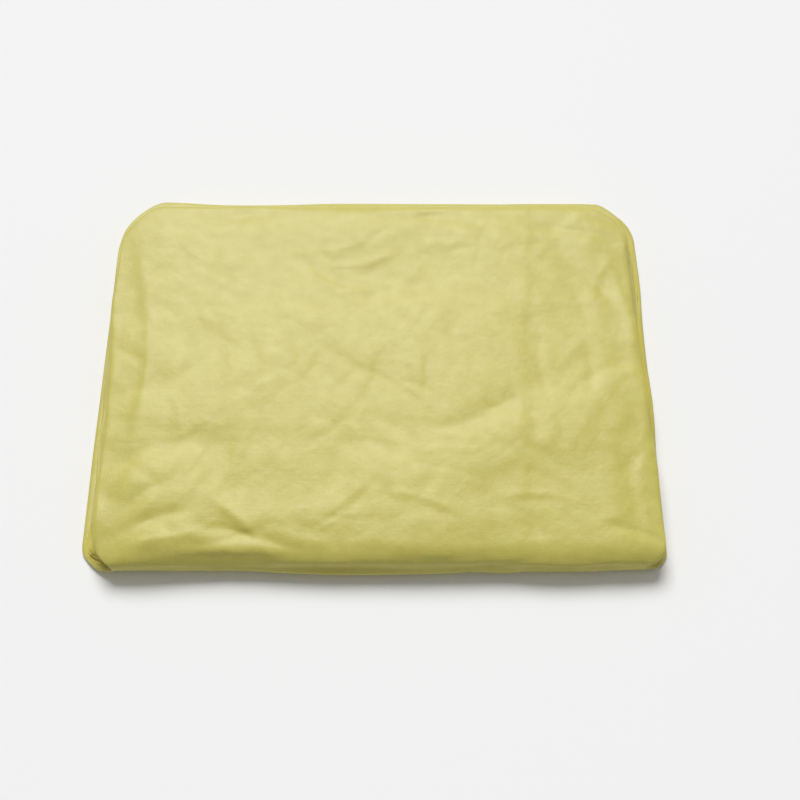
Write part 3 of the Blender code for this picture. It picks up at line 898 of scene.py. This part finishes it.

# %% [markdown]
# ## Two materials
#
# The front panel has the plastic coat. It is a thin clear layer, so it is a weak Coat on a matt yellow
# base, with some light passing just below the surface, as through any thin white-ish web. The colour is a
# pale lemon that turns deeper where fibres are dense. The plain cloth inside has no coat, and its deeper,
# more saturated yellow is painted light: it stands for light that has already passed through yellow cloth.

# %% Cloth materials
COATED = {"thin": (0.64, 0.576, 0.130, 1), "dense": (0.55, 0.484, 0.076, 1), "roughness": 0.50, "coat": 0.22,
          "crumple": 0.00085, "dent": 0.00012}
# the plain cloth's deeper, more saturated yellow is painted light, for light that has passed through the
# yellow layers above
PLAIN_WITH_PAINTED_THROUGH_LIGHT = {"thin": (0.70, 0.61, 0.125, 1), "dense": (0.62, 0.52, 0.080, 1), "roughness": 0.75, "coat": 0.0,
         "crumple": 0.00080, "dent": 0.00014}
CLOUD_SHARE, DENT_SHARE, STREAK_SHARE = 1.3, 0.35, 0.5  # how much each mark deepens the colour
DENSITY_START = 0.42
ROUGHNESS_SPREAD = 0.16
COAT_ROUGHNESS, SHEEN, SHEEN_ROUGHNESS = 0.34, 0.16, 0.5
LIGHT_BELOW, LIGHT_BELOW_RADIUS, LIGHT_BELOW_SCALE = 0.10, (1.0, 0.85, 0.30), 0.0025
STREAK_HEIGHT, BUMP_STRENGTH = 0.00008, 0.8


def cloth_material(name, look, coordinates):
    material = bpy.data.materials.new(name)
    material.use_nodes = True
    tree = material.node_tree
    shader = tree.nodes["Principled BSDF"]
    where = tree.nodes.new("ShaderNodeTexCoord").outputs[coordinates]

    def placed(group):
        node = tree.nodes.new("ShaderNodeGroup")
        node.node_tree = group
        tree.links.new(where, node.inputs["Place"])
        return node

    web, points, crumple = placed(fibre_web), placed(bond_points), placed(fine_crumple)
    density = math_node(tree, "ADD", math_node(tree, "MULTIPLY", web.outputs["Cloud"], CLOUD_SHARE),
                        math_node(tree, "MULTIPLY", points.outputs["Dent"], DENT_SHARE))
    streaks = math_node(tree, "MULTIPLY", web.outputs["Streaks"], STREAK_SHARE)
    density = math_node(tree, "ADD", density, streaks)
    colour = tree.nodes.new("ShaderNodeMix")
    colour.data_type = "RGBA"
    colour.inputs["A"].default_value = look["thin"]
    colour.inputs["B"].default_value = look["dense"]
    tree.links.new(math_node(tree, "SUBTRACT", density, DENSITY_START, clamp=True), colour.inputs["Factor"])
    tree.links.new(colour.outputs["Result"], shader.inputs["Base Color"])
    rough = math_node(tree, "MULTIPLY", web.outputs["Cloud"], ROUGHNESS_SPREAD)
    rough = math_node(tree, "ADD", rough, look["roughness"] - ROUGHNESS_SPREAD / 2)
    tree.links.new(rough, shader.inputs["Roughness"])
    shader.inputs["Coat Weight"].default_value = look["coat"]
    shader.inputs["Coat Roughness"].default_value = COAT_ROUGHNESS
    shader.inputs["Sheen Weight"].default_value = SHEEN
    shader.inputs["Sheen Roughness"].default_value = SHEEN_ROUGHNESS
    shader.inputs["Subsurface Weight"].default_value = LIGHT_BELOW
    shader.inputs["Subsurface Radius"].default_value = LIGHT_BELOW_RADIUS
    shader.inputs["Subsurface Scale"].default_value = LIGHT_BELOW_SCALE
    height = math_node(tree, "MULTIPLY", crumple.outputs["Height"], look["crumple"])
    dents = math_node(tree, "MULTIPLY", points.outputs["Dent"], look["dent"])
    height = math_node(tree, "SUBTRACT", height, dents)
    streaks = math_node(tree, "MULTIPLY", web.outputs["Streaks"], STREAK_HEIGHT)
    height = math_node(tree, "ADD", height, streaks)
    bump = tree.nodes.new("ShaderNodeBump")
    bump.inputs["Strength"].default_value = BUMP_STRENGTH
    bump.inputs["Distance"].default_value = 1.0
    tree.links.new(height, bump.inputs["Height"])
    tree.links.new(bump.outputs["Normal"], shader.inputs["Normal"])
    return material


# the inner layers get the plain cloth, whose deeper yellow is painted through-light
for piece, material in ((front, cloth_material("coated_cloth", COATED, "UV")),
                        (hidden, cloth_material("plain_cloth_with_painted_through_light", PLAIN_WITH_PAINTED_THROUGH_LIGHT, "Object"))):
    piece.data.materials.clear()
    piece.data.materials.append(material)
    print(piece.name, "has", material.name)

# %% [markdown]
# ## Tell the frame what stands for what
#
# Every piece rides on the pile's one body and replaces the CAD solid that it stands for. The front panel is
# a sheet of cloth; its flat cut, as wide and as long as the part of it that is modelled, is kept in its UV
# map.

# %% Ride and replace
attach(front, "root")
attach(hidden, "root")
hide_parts("front_panel")
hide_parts("hidden_layers")
print("declared:", front.name, "and", hidden.name)
